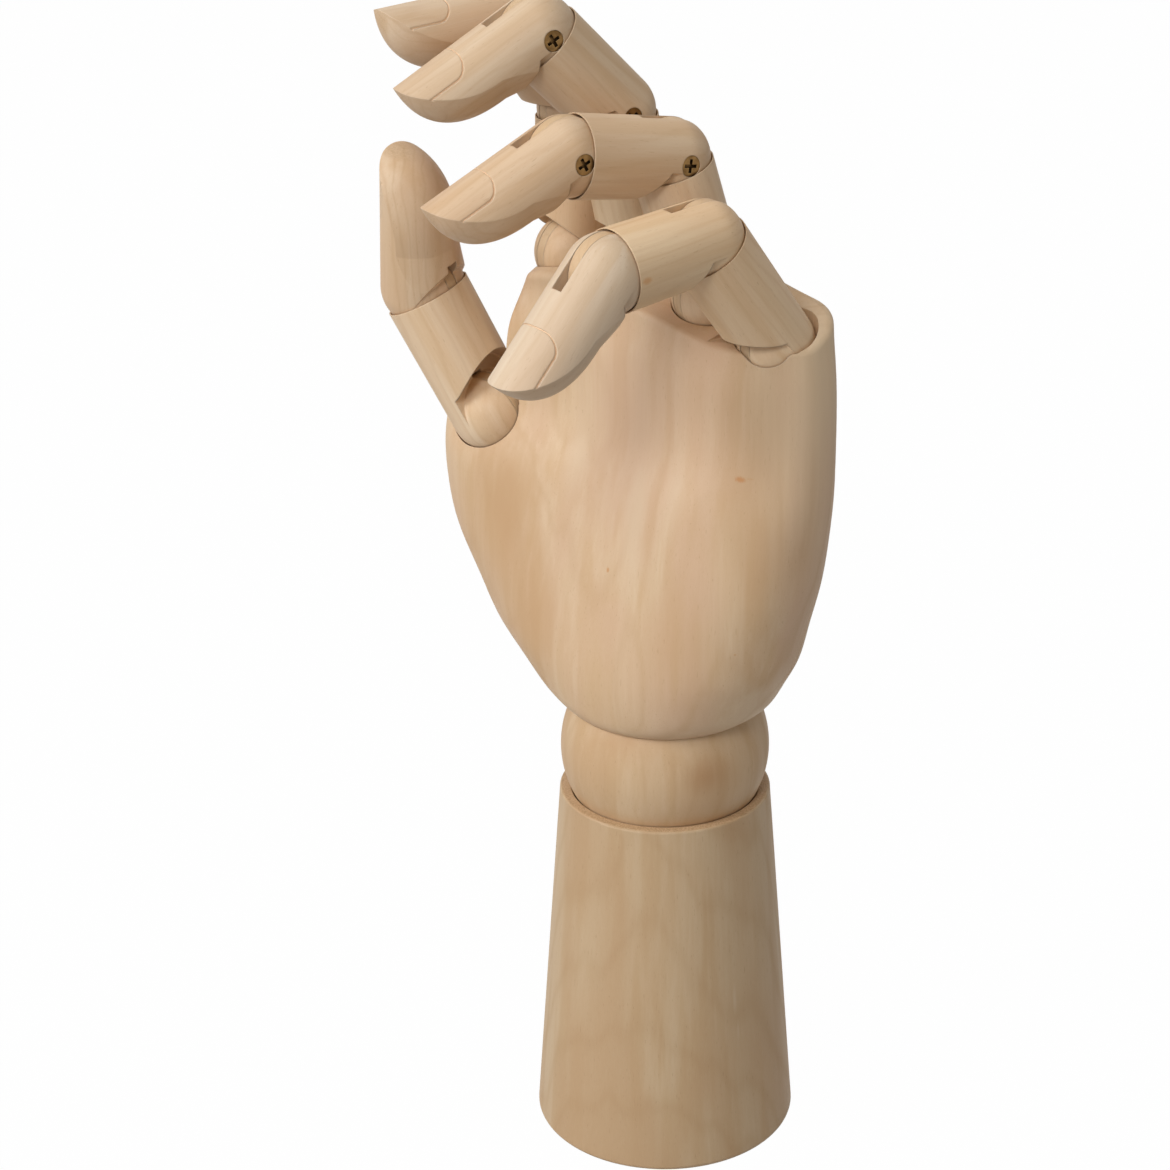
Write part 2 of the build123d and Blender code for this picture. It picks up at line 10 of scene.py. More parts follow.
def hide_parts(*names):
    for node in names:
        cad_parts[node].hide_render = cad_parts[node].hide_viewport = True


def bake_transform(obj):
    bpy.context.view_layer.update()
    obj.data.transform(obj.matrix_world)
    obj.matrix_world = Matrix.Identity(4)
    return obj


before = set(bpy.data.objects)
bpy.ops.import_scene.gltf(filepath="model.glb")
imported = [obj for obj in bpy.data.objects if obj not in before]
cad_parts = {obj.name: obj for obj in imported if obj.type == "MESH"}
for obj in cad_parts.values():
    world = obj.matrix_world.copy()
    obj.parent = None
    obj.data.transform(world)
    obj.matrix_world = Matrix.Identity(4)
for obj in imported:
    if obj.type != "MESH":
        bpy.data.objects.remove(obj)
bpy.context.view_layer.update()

MM = 0.001
FULL_TURN = 2 * math.pi
UP = Vector((0, 0, 1))
UPRIGHT = Matrix.Identity(4)

# ---- places of the pieces, in millimetres and degrees, as the CAD has them ----

# Seat in the palm, turn towards the thumb, bends at the knuckle and at the two joints after it
FINGERS = {
    "index": ((-29.5, 2.5, 220.0), 18.6, (-2.3, 38.3, 58.6)),
    "middle": ((-6.0, -1.0, 225.0), 24.5, (10.5, 34.5, 75)),
    "ring": ((13.6, -1.0, 219.2), 20, (18, 63.5, 35)),
    "little": ((32.5, -2.0, 212.0), 12.5, (37.5, 57.5, 42.5)),
}
FINGER_PIECES = ("proximal_phalanx", "middle_phalanx", "fingertip")
FINGER_LENGTHS = (34.0, 26.5, 33.0)
THUMB_SEAT = (-43.3, -11.5, 181.6)
THUMB_LEAN, THUMB_HEADING, THUMB_ROLL, THUMB_BEND = (math.radians(a) for a in (27, 33, 146, 38))
THUMB_LENGTH = 34.3
BALL_MIDDLE = 102.4
PALM_MIDDLE = 165


def place(origin, hinge, along):
    """A piece's own frame: X along its hinge, Z along its grain."""
    turned = Matrix((hinge, along.cross(hinge), along)).transposed()
    return Matrix.Translation(origin) @ turned.to_4x4()


def finger_places(seat, turn, bends):
    """The frames of the knuckle and of the three pieces of a finger."""
    swing = math.radians(turn)
    hinge = Vector((math.cos(swing), -math.sin(swing), 0))
    curl = Vector((-math.sin(swing), -math.cos(swing), 0))
    origin, bend = Vector(seat), 0.0
    places = [place(origin, hinge, UP)]
    for step, length in zip(bends, FINGER_LENGTHS):
        bend += math.radians(step)
        along = UP * math.cos(bend) + curl * math.sin(bend)
        places.append(place(origin, hinge, along))
        origin = origin + along * length
    return places


def thumb_places():
    """The frames of the thumb's first piece and of its tip."""
    out = Vector((-math.cos(THUMB_HEADING), -math.sin(THUMB_HEADING), 0))
    along = UP * math.cos(THUMB_LEAN) + out * math.sin(THUMB_LEAN)
    first = out * math.cos(THUMB_LEAN) - UP * math.sin(THUMB_LEAN)
    inward = first * math.cos(THUMB_ROLL) + along.cross(first) * math.sin(THUMB_ROLL)
    hinge = along.cross(inward)
    tip = along * math.cos(THUMB_BEND) + inward * math.sin(THUMB_BEND)
    seat = Vector(THUMB_SEAT)
    return [place(seat, hinge, along), place(seat + along * THUMB_LENGTH, hinge, tip)]


# ---- shader sums ----


class Flow:
    """One output of a material's nodes; sums on it add Math nodes."""

    def __init__(self, recipe, socket):
        self.recipe, self.socket = recipe, socket

    def sum(self, operation, *values):
        return self.recipe.add("ShaderNodeMath", {"operation": operation}, *values)

    def __add__(self, other):
        return self.sum("ADD", self, other)

    __radd__ = __add__

    def __sub__(self, other):
        return self.sum("SUBTRACT", self, other)

    def __rsub__(self, other):
        return self.sum("SUBTRACT", other, self)

    def __mul__(self, other):
        return self.sum("MULTIPLY", self, other)

    __rmul__ = __mul__

    def __pow__(self, other):
        return self.sum("POWER", self, other)

    def wave(self):
        """A sine, from 0 to 1."""
        return self.sum("SINE", self) * 0.5 + 0.5

    def size(self):
        """The value without its sign."""
        return self.sum("ABSOLUTE", self)

    def between(self, low, high):
        """0 at low, 1 at high, smooth between."""
        settings = {"interpolation_type": "SMOOTHSTEP"}
        return self.recipe.add("ShaderNodeMapRange", settings, self, low, high, 0.0, 1.0)


class Recipe:
    """The nodes of a material, or of the world, in the making."""

    def __init__(self, holder):
        holder.use_nodes = True
        self.holder, self.tree = holder, holder.node_tree
        self.tree.nodes.clear()

    def add(self, kind, settings=None, *values, out=0, **named):
        """A node of that kind: settings first, then its sockets by order or by name.

        It gives the output of that number or name, or all of them where out is None.
        """
        node = self.tree.nodes.new(kind)
        for key, value in (settings or {}).items():
            setattr(node, key, value)
        sockets = [s for s in node.inputs if s.enabled]
        pairs = list(zip(sockets, values)) + [(node.inputs[key], v) for key, v in named.items()]
        for socket, value in pairs:
            if isinstance(value, Flow):
                self.tree.links.new(value.socket, socket)
            elif value is not None:
                socket.default_value = value
        if isinstance(out, str):
            return Flow(self, node.outputs[out])
        flows = [Flow(self, s) for s in node.outputs if s.enabled]
        return flows if out is None else flows[out] if flows else None

    def own_place(self, where):
        """Millimetres in the piece's own frame."""
        turn = where.to_euler("XYZ")
        spot = where.translation * MM
        seen = self.add("ShaderNodeTexCoord", out="Object")
        return self.add("ShaderNodeMapping", {"vector_type": "TEXTURE"}, seen, spot, turn, (MM, MM, MM))

    def stretched(self, point, scale, shift=(0, 0, 0)):
        """The point times the scale, plus the shift."""
        return self.add("ShaderNodeMapping", {"vector_type": "POINT"}, point, shift, (0, 0, 0), scale)

    def noise(self, point, scale, detail=2.0, rough=0.5, shift=(0, 0, 0)):
        """A cloudy pattern, about 0.5 on average."""
        moved = self.stretched(point, scale, shift)
        return self.add("ShaderNodeTexNoise", None, Vector=moved, Scale=1.0, Detail=detail, Roughness=rough)

    def away_from(self, spot, reach, point):
        """Distance of the point from a spot, 1 at its reach along each axis."""
        scale = tuple(1 / span for span in reach)
        shift = tuple(-part / span for part, span in zip(spot, reach))
        offset = self.stretched(point, scale, shift)
        return self.add("ShaderNodeVectorMath", {"operation": "LENGTH"}, offset, out="Value")

    def agreement(self, first, second):
        """1 where two directions are the same, 0 where they are square to each other."""
        return self.add("ShaderNodeVectorMath", {"operation": "DOT_PRODUCT"}, first, second, out="Value")

    def openness(self, distance, samples, own_only=False):
        """1 in the open, less in corners, seen up to that many millimetres away."""
        settings = {"samples": samples, "only_local": own_only}
        return self.add("ShaderNodeAmbientOcclusion", settings, Distance=distance * MM, out="AO")

    def mix(self, share, first, second, way="MIX"):
        """The second colour over the first by that share."""
        settings = {"data_type": "RGBA", "blend_type": way, "clamp_factor": True}
        return self.add("ShaderNodeMix", settings, share, first, second)

    def rounded_edge(self, radius):
        """A softened surface direction, and where the sharp edges are."""
        soft = self.add("ShaderNodeBevel", {"samples": 6}, Radius=radius * MM)
        flat = self.add("ShaderNodeNewGeometry", out="Normal")
        return soft, (1 - self.agreement(soft, flat)).between(0.005, 0.16)

    def relief(self, height, strength, depth, normal=None):
        """A surface direction with fine relief, its depth in millimetres."""
        sockets = {"Strength": strength, "Distance": depth * MM, "Height": height, "Normal": normal}
        return self.add("ShaderNodeBump", None, **sockets)

    def looked_at(self):
        """1 for what a camera, a mirror or glass looks at, 0 for light."""
        path = self.add("ShaderNodeLightPath", None, out=None)
        names = [flow.socket.name for flow in path]
        looks = [path[names.index(f"Is {kind} Ray")] for kind in ("Camera", "Glossy", "Transmission")]
        return self.add("ShaderNodeMath", {"operation": "MINIMUM"}, looks[0] + looks[1] + looks[2], 1.0)

    def finish(self, colour, rough, normal, metal=0.0):
        """The surface from its varied sockets."""
        sockets = {"Base Color": colour, "Roughness": rough, "Metallic": metal, "Normal": normal}
        shader = self.add("ShaderNodeBsdfPrincipled", None, **sockets)
        self.add("ShaderNodeOutputMaterial", None, Surface=shader)
        return self.holder


def tone(red, green, blue):
    """A colour as seen on a screen, 0 to 255, as linear light."""
    parts = [v / 255 for v in (red, green, blue)]
    return tuple(v / 12.92 if v < 0.04045 else ((v + 0.055) / 1.055) ** 2.4 for v in parts) + (1.0,)


def between_tones(share, first, second):
    """A fixed colour that share of the way from the first to the second."""
    return tuple(a + (b - a) * share for a, b in zip(first, second))


# ---- wood ----

WARM, PALE = tone(214, 184, 149), tone(222, 199, 168)
SLAT_WARM, SLAT_PALE = tone(200, 168, 128), tone(212, 186, 150)
HONEY, ROSY = tone(203, 168, 126), tone(213, 180, 152)
SILVERY = tone(226, 203, 173)
LATE_BAND, LATE_RING = tone(205, 173, 137), tone(190, 153, 112)
DARK_THREAD, PALE_THREAD = tone(187, 154, 116), tone(232, 213, 186)
TICK, PORE, STAIN = tone(165, 124, 84), tone(170, 132, 94), tone(198, 140, 84)
SAWN_DARK, SAWN_PALE = tone(176, 142, 104), tone(205, 174, 136)
# Pale rubbed edges, and painted light for the shade in creases and grooves
RUBBED_EDGE, PAINTED_LIGHT_IN_CREASES = tone(235, 217, 190), tone(246, 216, 180)

# Each pattern's scale across and along the grain per millimetre, its detail and its roughness
GRAIN = {
    "bend": (0.045, 0.009, 2.0, 0.5),
    "ripple": (0.16, 0.03, 2.0, 0.5),
    "fibre": (1.1, 0.03, 4.0, 0.55),
    "band": (0.16, 0.011, 2.0, 0.45),
    "streak": (0.5, 0.016, 2.0, 0.5),
    "thread": (5.5, 0.16, 3.0, 0.6),
    "patch": (0.05, 0.018, 2.0, 0.5),
    "tick": (3.6, 0.42, 1.0, 0.5),
    "pore": (9.0, 0.7, 1.0, 0.5),
    "speck": (2.6, 0.3, 3.0, 0.7),
}
# How far the two slow patterns push the rings aside, in millimetres
BEND_REACH, RIPPLE_REACH = 26.0, 4.0
RINGS_TO_A_BAND = 3.7
RING_SHARPNESS = 5.0


def pale_wood(
    name,
    where,
    heart,
    ring_width,
    tint,
    figure,
    seed,
    lean=0.035,
    cast=None,
    sawn_share=0.5,
    patches=(),
    spots=(),
    slat=False,
):
    """Bare sanded pale wood with its grain along the piece.

    Growth rings of that width lie round a heart beside the piece and lean along it. The tint runs from
    honey to rosy, figure is how clearly the rings show, and cast makes the whole piece paler or darker.
    sawn_share is how clearly the ends show as end grain, and a slat is of a darker wood. Each spot has
    its place, its width across and height along the grain and its share; a patch adds its colour.
    """
    r = Recipe(bpy.data.materials.new(name))
    point = r.own_place(where)
    # Each seed shifts the patterns elsewhere, so that no two pieces have the same figure
    apart = (seed * 37.0, seed * 23.0, seed * 71.0)

    def grain(kind, shift=apart):
        across, along, detail, rough = GRAIN[kind]
        return r.noise(point, (across, across, along), detail, rough, shift)

    bend = grain("bend") - 0.5
    ripple = grain("ripple") - 0.5
    x, y, z = r.add("ShaderNodeSeparateXYZ", None, point, out=None)
    dx, dy = x - heart[0], y - heart[1]
    reach = (dx * dx + dy * dy) ** 0.5
    depth = reach + bend * BEND_REACH + ripple * RIPPLE_REACH + z * lean
    late = (depth * (FULL_TURN / ring_width)).wave() ** RING_SHARPNESS
    slow = (depth * (FULL_TURN / (ring_width * RINGS_TO_A_BAND)) + seed).wave()
    fibre = grain("fibre")
    band = grain("band", (seed, 5.0 + seed, 1.0))
    streak = grain("streak", (3.0, seed, 6.0 + seed))
    thread = grain("thread")
    patch = grain("patch", (9.0 + seed, 4.0, 2.0))
    tick = grain("tick", (seed, 3.0, 8.0)).between(0.69, 0.76)
    pore = grain("pore", (2.0, seed, 5.0)).between(0.66, 0.74)

    warm, pale = (SLAT_WARM, SLAT_PALE) if slat else (WARM, PALE)
    colour = r.mix(fibre.between(0.25, 0.75) * 0.45 + 0.3, warm, pale)
    # Where each layer shows, its share there and its colour
    layers = (
        (band.between(0.44, 0.62), 0.55, HONEY),
        (streak.between(0.54, 0.74), 0.3, SILVERY),
        (patch.between(0.4, 0.68), 0.75, between_tones(tint, HONEY, ROSY)),
        (slow.between(0.2, 0.9), 0.3 * figure, LATE_BAND),
        (late, 0.34 * figure, LATE_RING),
        (thread.between(0.5, 0.78), 0.1, DARK_THREAD),
        (thread.between(0.5, 0.26), 0.1, PALE_THREAD),
        (tick, 0.3, TICK),
        (pore, 0.16, PORE),
    )
    for mask, share, hue in layers:
        colour = r.mix(mask * share, colour, hue)
    for *spot, width, height, share, hue in patches:
        away = r.away_from(spot, (width, width, height), point)
        ragged = away + (streak - 0.5) * 0.6 + (patch - 0.5) * 1.2
        colour = r.mix(ragged.between(1.3, 0.1) * share, colour, hue)
    for *spot, width, height, share in spots:
        away = r.away_from(spot, (width, width, height), point)
        ragged = away + (thread - 0.5) * 1.2
        colour = r.mix(ragged.between(1.0, 0.25) * share, colour, STAIN)
    if cast:
        colour = r.mix(1.0, colour, cast + (1.0,), "MULTIPLY")

    facing = r.add("ShaderNodeTexCoord", out="Normal")
    end_on = r.agreement(facing, tuple(where.to_3x3().col[2])).size()
    sawn = r.mix(grain("speck").between(0.35, 0.65), SAWN_DARK, SAWN_PALE)
    colour = r.mix(end_on.between(0.93, 0.995) * sawn_share, colour, sawn)

    soft, edge = r.rounded_edge(0.35)
    worn = edge * (0.55 + (fibre - 0.5) * 0.8)
    colour = r.mix(worn * 0.5, colour, RUBBED_EDGE)
    # Painted light: creases, slots and grooves within the piece are painted paler, to offset the shade that
    # falls in them.
    painted_light_in_creases = 1 - r.openness(0.8, samples=6, own_only=True)
    colour = r.mix(painted_light_in_creases.between(0.08, 0.4) * 0.8, colour, PAINTED_LIGHT_IN_CREASES)

    rough = 0.5 + fibre * 0.16 + late * 0.05 - worn * 0.06
    height = fibre * 0.25 + thread * 0.5 - tick * 0.6 - pore * 0.5 + late * 0.2
    return r.finish(colour, rough, r.relief(height, strength=0.16, depth=0.07, normal=soft))


# ---- metals, with their patterns' scales per metre ----

BRASS, DULL_BRASS, BRIGHT_BRASS = tone(140, 108, 66), tone(102, 76, 45), tone(190, 160, 110)
# The dark of grime, and painted shade, in the screws' recesses and round their rims
GRIME_AND_PAINTED_SHADE = tone(58, 42, 26)
STEEL, OILY_STEEL = tone(168, 168, 166), tone(132, 131, 129)


def old_brass(name):
    """Plain brass, dull, with grime and painted shade in its corners and round its rim, bright on the edges."""
    r = Recipe(bpy.data.materials.new(name))
    seen = r.add("ShaderNodeTexCoord", out="Object")
    cloud = r.noise(seen, (420, 420, 420), detail=3.0, rough=0.6)
    brushed = r.noise(seen, (2600, 2600, 700), rough=0.6)
    soft, edge = r.rounded_edge(0.18)
    # Partly grime and partly painted shade: darker in the cross recess and round the rim, where the hole walls
    # close in
    grime_and_painted_shade = (1 - r.openness(1.1, samples=8)).between(0.08, 0.6)
    colour = r.mix(cloud.between(0.3, 0.7), BRASS, DULL_BRASS)
    colour = r.mix(edge * 0.45, colour, BRIGHT_BRASS)
    colour = r.mix(grime_and_painted_shade * 0.85, colour, GRIME_AND_PAINTED_SHADE)
    rough = 0.3 + cloud * 0.16 + grime_and_painted_shade * 0.25
    return r.finish(colour, rough, r.relief(brushed, strength=0.3, depth=0.03, normal=soft), metal=1.0)


def spring_steel(name):
    """Drawn steel wire with a thin film of oil."""
    r = Recipe(bpy.data.materials.new(name))
    seen = r.add("ShaderNodeTexCoord", out="Object")
    cloud = r.noise(seen, (300, 300, 300), detail=3.0, rough=0.6)
    drawn = r.noise(seen, (1800, 1800, 1800), rough=0.6)
    colour = r.mix(cloud.between(0.3, 0.7), STEEL, OILY_STEEL)
    return r.finish(colour, 0.26 + cloud * 0.2, r.relief(drawn, strength=0.2, depth=0.02), metal=1.0)


wire_steel = spring_steel("spring_steel")
screw_brass = old_brass("old_brass")

# ---- springs, in millimetres along their own axes ----

# Outer radius, wire radius, radius of the end rings, radius of the end rings' wire
KNUCKLE_SPRING = (3.1, 0.4, 3.0, 0.5)
WRIST_SPRING = (4.4, 0.55, 3.4, 0.7)
KNUCKLE_SPRING_ENDS = (-39.37, -18.1)
WRIST_SPRING_LOW, WRIST_SPRING_HIGH = 37.28, 136.62
# Where the long spring passes from the stand to the ball, and from the ball to the palm
STAND_TO_BALL, BALL_TO_PALM = (68, 94), (110, 132)
# A turn climbs by a little more than the wire's thickness
CLIMB_IN_WIRE_RADII = 2.04
STEPS_IN_A_TURN, STEPS_IN_A_RING, SIDES_OF_A_WIRE = 20, 32, 8


def spin_wire(bm, wire, start, is_ring, **turning):
    """A round wire spun from its section at that place; a ring closes on itself, any other wire has ends."""
    made = bmesh.ops.create_circle(bm, cap_ends=not is_ring, segments=SIDES_OF_A_WIRE, radius=wire, matrix=start)
    corners = made["verts"]
    edges = list(dict.fromkeys(edge for corner in corners for edge in corner.link_edges))
    faces = list(corners[0].link_faces)
    bmesh.ops.spin(bm, geom=faces + edges + corners, use_merge=is_ring, **turning)


def wound_spring(name, node, bodies, sizes, low, high, where, zone=None, rings=(True, True)):
    """A closely wound spring in place of the plain tube.

    It is wound straight along its own axis; bodies is not used, and zone only gives two end points that nothing
    uses. rings says whether it ends in a ring at its low and at its high end.
    """
    radius, wire, ring, ring_wire = sizes
    coil_low = low + (2 * ring if rings[0] else -wire)
    coil_high = high - (2 * ring if rings[1] else -wire)
    rise = coil_high - coil_low - 2 * wire
    turns = round(rise / (CLIMB_IN_WIRE_RADII * wire))
    steps = turns * STEPS_IN_A_TURN
    bm = bmesh.new()
    begin = Matrix.Translation((radius - wire, 0, coil_low + wire)) @ Matrix.Rotation(math.pi / 2, 4, "X")
    climb = {"dvec": (0, 0, rise / steps), "angle": FULL_TURN * turns, "steps": steps}
    spin_wire(bm, wire, begin, is_ring=False, cent=(0, 0, 0), axis=(0, 0, 1), **climb)
    low_ring = ((0, ring, low + ring), (1, 0, 0))
    high_ring = ((ring, 0, high - ring), (0, 1, 0))
    for section, axis in [low_ring] * rings[0] + [high_ring] * rings[1]:
        once_round = {"cent": (0, 0, section[2]), "axis": axis, "angle": FULL_TURN, "steps": STEPS_IN_A_RING}
        spin_wire(bm, ring_wire, Matrix.Translation(section), is_ring=True, **once_round)
    bmesh.ops.remove_doubles(bm, verts=bm.verts[:], dist=1e-4)
    bmesh.ops.recalc_face_normals(bm, faces=bm.faces[:])
    bm.transform(Matrix.Scale(MM, 4) @ where)
    mesh = bpy.data.meshes.new(name)
    bm.to_mesh(mesh)
    bm.free()
    for polygon in mesh.polygons:
        polygon.use_smooth = True
    piece = bpy.data.objects.new(name, mesh)
    bpy.context.scene.collection.objects.link(piece)
    piece.data.materials.append(wire_steel)
    start, end = (where @ Vector((0, 0, height)) * MM for height in zone or (low, high))
    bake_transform(piece)
    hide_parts(node)


def wind_springs():
    """The wrist's spring in two halves, which meet in the ball, and one spring at each knuckle."""
    low_half = (WRIST_SPRING, WRIST_SPRING_LOW, BALL_MIDDLE, UPRIGHT, STAND_TO_BALL, (True, False))
    high_half = (WRIST_SPRING, BALL_MIDDLE, WRIST_SPRING_HIGH, UPRIGHT, BALL_TO_PALM, (False, True))
    wound_spring("wrist_spring_low", "wrist_spring", ("wrist_anchor", "wrist_ball"), *low_half)
    wound_spring("wrist_spring_high", "wrist_spring", ("wrist_ball", "palm"), *high_half)
    places = {finger: finger_places(*row)[0] for finger, row in FINGERS.items()}
    places["thumb"] = thumb_places()[0]
    for finger, where in places.items():
        node, bodies = f"{finger}_knuckle_spring", ("palm", f"{finger}_knuckle")
        wound_spring(f"{finger}_spring_wire", node, bodies, KNUCKLE_SPRING, *KNUCKLE_SPRING_ENDS, where)


# ---- dressing the CAD pieces ----

HONEY_PATCH, ROSE_PATCH, CREAM_PATCH = tone(196, 158, 116), tone(212, 176, 150), tone(222, 200, 172)
# The first is painted light, the second a brown blotch in the wood
PAINTED_LIGHT_PATCH, BROWN_PATCH = tone(236, 212, 180), tone(178, 134, 88)

# Patches and spots: place in the piece's own frame, width, height, share, and for a patch its colour
STAND_SCRATCHES = (
    (28.0, -8.0, 44.0, 0.6, 5, 0.7, CREAM_PATCH),
    (29.0, -7.6, 36.0, 0.5, 4, 0.6, CREAM_PATCH),
)
BALL_PATCHES = (
    (22.1, -12.0, 2.7, 6.5, 6, 0.55, BROWN_PATCH),
    (3.9, -22, 11.8, 8, 6, 0.5, HONEY_PATCH),
)
PALM_PATCHES = (
    (-32, -21, -2, 13, 26, 0.75, HONEY_PATCH),
    (-20, -24, -27, 10, 24, 0.6, HONEY_PATCH),
    (20, -19, -24, 12, 22, 0.45, HONEY_PATCH),
    (33, -12, 8, 9, 34, 0.4, HONEY_PATCH),
    (2, -18, 22, 17, 32, 0.55, ROSE_PATCH),
    (-14, -15, 14, 4, 20, 0.5, CREAM_PATCH),
    (7, -19, 0, 3.5, 26, 0.5, CREAM_PATCH),
    (17, -18, 20, 3, 24, 0.4, CREAM_PATCH),
    # Painted light: a pale patch that lightens the palm's upper little-finger side, as if more light fell there
    (46, -2, 34, 14, 44, 0.7, PAINTED_LIGHT_PATCH),
)
PALM_SPOTS = (
    (31.7, -13.2, 17.6, 1.7, 0.9, 0.8),
    (33.6, -11.6, 18.0, 1.3, 0.35, 0.6),
    (0.3, -21.5, -9.7, 0.55, 0.8, 0.7),
    (32.2, -15.0, -24.4, 0.35, 0.4, 0.5),
)
FINGER_SPOTS = {("little", "middle_phalanx"): ((9.1, -0.4, 22.7, 1.1, 1.6, 0.6),)}
# Finger pieces that are paler or darker than the rest
CASTS = {
    ("little", "fingertip"): (0.99, 1.05, 1.15),
    ("little", "middle_phalanx"): (1.12, 1.1, 1.04),
    ("little", "proximal_phalanx"): (1.16, 1.15, 1.12),
    ("ring", "fingertip"): (0.95, 0.91, 0.88),
    ("ring", "proximal_phalanx"): (1.12, 1.12, 1.12),
    ("middle", "fingertip"): (0.93, 0.93, 0.94),
    ("middle", "proximal_phalanx"): (1.06, 1.06, 1.02),
    ("index", "fingertip"): (0.95, 0.94, 0.95),
    ("index", "proximal_phalanx"): (1.0, 0.96, 0.9),
}
# The heart of each finger piece lies this far out, turned on from the last one's by the golden angle
HEART_REACH, GOLDEN_ANGLE = 16, 2.399


def dress(node, material):
    """Give a CAD piece its finish."""
    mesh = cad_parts[node].data
    mesh.materials.clear()
    mesh.materials.append(material)


def dress_slat(node, name, where, seed):
    """Flat wood with straight close rings, for a tongue."""
    wood = pale_wood(name, where, heart=(9, 30), ring_width=1.9, tint=0.2, figure=0.6, seed=seed, slat=True)
    dress(node, wood)


def dress_stand():
    look = {"lean": -0.32, "cast": (0.81, 0.78, 0.71), "sawn_share": 0.95, "patches": STAND_SCRATCHES}
    rings = {"heart": (-34, 52), "ring_width": 8.5, "tint": 0.3, "figure": 0.5, "seed": 1.3}
    dress("base", pale_wood("stand_wood", UPRIGHT, **rings, **look))


def dress_ball():
    where = Matrix.Translation((0, 0, BALL_MIDDLE))
    look = {"cast": (0.88, 0.83, 0.75), "patches": BALL_PATCHES}
    rings = {"heart": (22, 48), "ring_width": 6.5, "tint": 0.3, "figure": 0.35, "seed": 2.6}
    dress("wrist_ball", pale_wood("ball_wood", where, **rings, **look))


def dress_palm():
    where = Matrix.Translation((0, 0, PALM_MIDDLE))
    look = {"cast": (0.96, 0.93, 0.88), "patches": PALM_PATCHES, "spots": PALM_SPOTS}
    rings = {"heart": (-6, 58), "ring_width": 7.5, "tint": 0.9, "figure": 0.6, "seed": 0.4}
    dress("palm", pale_wood("palm_wood", where, **rings, **look))


def dress_fingers():
    count = 0
    for finger, row in FINGERS.items():
        knuckle, *places = finger_places(*row)
        dress_slat(f"{finger}_knuckle_tongue", f"{finger}_knuckle_slat", knuckle, 0.3 + count)
        for piece, where in zip(FINGER_PIECES, places):
            count += 1
            angle = GOLDEN_ANGLE * count
            heart = (HEART_REACH * math.cos(angle), HEART_REACH * math.sin(angle))
            look = {"cast": CASTS.get((finger, piece)), "spots": FINGER_SPOTS.get((finger, piece), ())}
            rings = {"ring_width": 2.6 + 0.5 * (count % 3), "tint": 0.35, "figure": 0.55, "seed": 0.7 * count}
            dress(f"{finger}_{piece}", pale_wood(f"{finger}_{piece}_wood", where, heart, **rings, **look))
        for piece, where in zip(("proximal_tongue", "middle_tongue"), places):
            dress_slat(f"{finger}_{piece}", f"{finger}_{piece}_slat", where, count * 0.6)
        for screw in ("proximal_screw", "middle_screw", "fingertip_screw"):
            dress(f"{finger}_{screw}", screw_brass)


def dress_thumb():
    first, tip = thumb_places()
    rings = {"heart": (12, -17), "ring_width": 3.6, "tint": 0.3, "figure": 0.6, "seed": 5.1}
    dress("thumb_proximal_phalanx", pale_wood("thumb_first_wood", first, cast=(1.08, 1.08, 1.08), **rings))
    rings = {"heart": (-15, 14), "ring_width": 3.0, "tint": 0.6, "figure": 0.7, "seed": 8.3}
    dress("thumb_tip", pale_wood("thumb_tip_wood", tip, cast=(0.97, 0.94, 0.91), **rings))
    for node in ("thumb_knuckle_tongue", "thumb_proximal_tongue"):
        dress_slat(node, f"{node}_slat", first, 4.4)
    for node in ("thumb_proximal_screw", "thumb_tip_screw"):
        dress(node, screw_brass)


dress_stand()
dress_ball()
dress_palm()
dress_fingers()
dress_thumb()
for fastener in ("wrist_eye_bolt", "anchor_washer", "anchor_nut", "wrist_anchor_eye", "finger_anchor_eyes"):
    dress(fastener, wire_steel)
wind_springs()

# ---- floor, light and camera, in metres ----

FLOOR_HALF = 5.0
FLOOR_DARK, FLOOR_PALE = tone(172, 172, 172), tone(178, 178, 178)
# The floor glows white where it is looked at, but for the little that keeps the shadow
GLOW_SHARE = 0.99
WHITE = (1.0, 1.0, 1.0, 1.0)
ROOM_LIGHT, ROOM_STRENGTH = (1.0, 0.94, 0.86, 1.0), 0.28
LAMP_LIGHT = (0.98, 1.0, 1.04)
# To the camera's right, upward and towards the camera from the target, then edge and watts
LAMPS = {
    "key": (-1.25, 0.95, 0.7, 0.7, 15.5),
    "front": (-0.5, 1.05, 1.35, 0.5, 10.0),
    "top": (-0.1, 1.6, -0.2, 1.0, 4.0),
}

# The photo's camera: turn and rise round the target in radians, distance, and in pixels its focal
# length, the photo's width and how far the view is shifted sideways; the sensor is in millimetres
AZIMUTH, ELEVATION = math.radians(38.4), 0.4117
DISTANCE = 0.6543
FOCAL_PIXELS, PHOTO_PIXELS, SHIFT_PIXELS = 2758.9, 1170, -80.0
SENSOR_WIDTH = 36.0
NEAREST = 0.01
TARGET = Vector((0, 0, 0.14405))
RIGHT = Vector((math.cos(AZIMUTH), math.sin(AZIMUTH), 0))
BACK = Vector(
    (math.sin(AZIMUTH) * math.cos(ELEVATION), -math.cos(AZIMUTH) * math.cos(ELEVATION), math.sin(ELEVATION))
)
LEVEL_BACK = Vector((BACK.x, BACK.y, 0)).normalized()


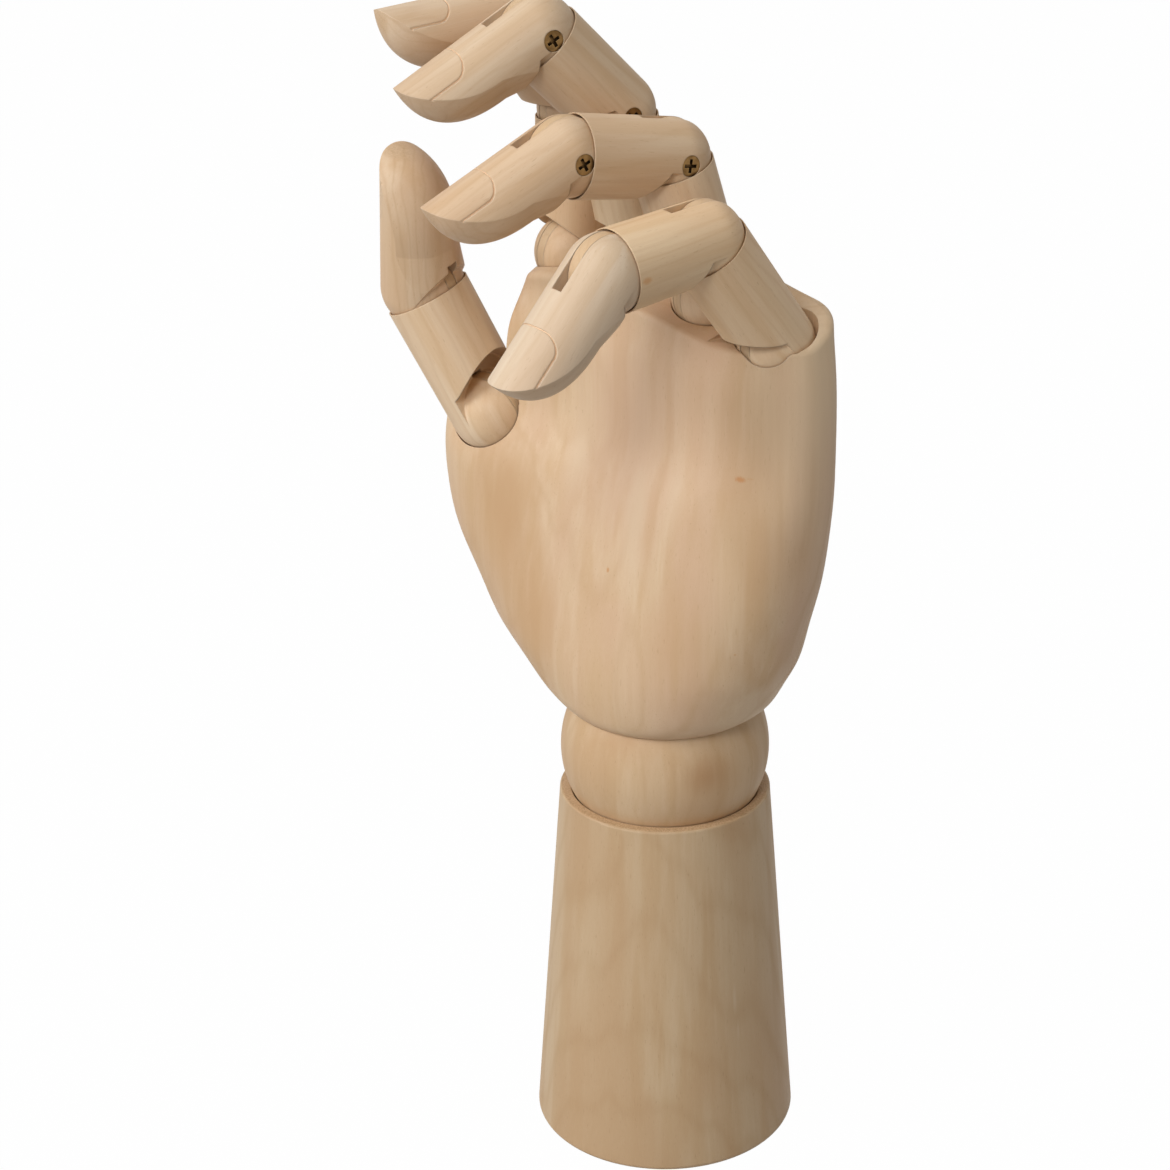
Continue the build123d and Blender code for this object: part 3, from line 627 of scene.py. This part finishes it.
def pale_floor():
    """A wide white floor that keeps the shadow."""
    bm = bmesh.new()
    bmesh.ops.create_grid(bm, x_segments=2, y_segments=2, size=FLOOR_HALF)
    mesh = bpy.data.meshes.new("floor")
    bm.to_mesh(mesh)
    bm.free()
    floor = bpy.data.objects.new("floor", mesh)
    bpy.context.scene.collection.objects.link(floor)
    r = Recipe(bpy.data.materials.new("floor_white"))
    seen = r.add("ShaderNodeTexCoord", out="Object")
    colour = r.mix(r.noise(seen, (3, 3, 3)), FLOOR_DARK, FLOOR_PALE)
    lit = r.add("ShaderNodeBsdfDiffuse", None, colour)
    glow = r.add("ShaderNodeEmission", None, WHITE, 1.0)
    mixed = r.add("ShaderNodeMixShader", None, r.looked_at() * GLOW_SHARE, lit, glow)
    r.add("ShaderNodeOutputMaterial", None, Surface=mixed)
    floor.data.materials.append(r.holder)


def studio():
    """Warm even light from all round, and white where it is looked at."""
    r = Recipe(bpy.data.worlds.new("studio"))
    room = r.add("ShaderNodeBackground", None, ROOM_LIGHT, ROOM_STRENGTH)
    white = r.add("ShaderNodeBackground", None, WHITE, 1.0)
    both = r.add("ShaderNodeMixShader", None, r.looked_at(), room, white)
    r.add("ShaderNodeOutputWorld", None, both)
    bpy.context.scene.world = r.holder


def soft_lamp(name, aside, upward, toward, edge, power):
    """A large square lamp that looks at the hand; the place is in the camera's directions."""
    lamp = bpy.data.lights.new(name, "AREA")
    lamp.shape = "SQUARE"
    lamp.size = edge
    lamp.energy = power
    lamp.color = LAMP_LIGHT
    made = bpy.data.objects.new(name, lamp)
    bpy.context.scene.collection.objects.link(made)
    made.location = TARGET + RIGHT * aside + Vector((0, 0, upward)) + LEVEL_BACK * toward
    made.rotation_euler = (TARGET - made.location).to_track_quat("-Z", "Y").to_euler()


def photo_camera():
    """The camera in the photo's place."""
    camera = bpy.data.cameras.new("camera")
    camera.sensor_width = SENSOR_WIDTH
    camera.sensor_fit = "HORIZONTAL"
    camera.lens = SENSOR_WIDTH * FOCAL_PIXELS / PHOTO_PIXELS
    camera.shift_x = SHIFT_PIXELS / PHOTO_PIXELS
    camera.clip_start = NEAREST
    eye = bpy.data.objects.new("camera", camera)
    bpy.context.scene.collection.objects.link(eye)
    turned = Matrix((RIGHT, BACK.cross(RIGHT), BACK)).transposed().to_4x4()
    eye.matrix_world = Matrix.Translation(TARGET + BACK * DISTANCE) @ turned
    bpy.context.scene.camera = eye


pale_floor()
studio()
for lamp_name, row in LAMPS.items():
    soft_lamp(lamp_name, *row)
photo_camera()
bpy.context.scene.view_settings.view_transform = "Standard"
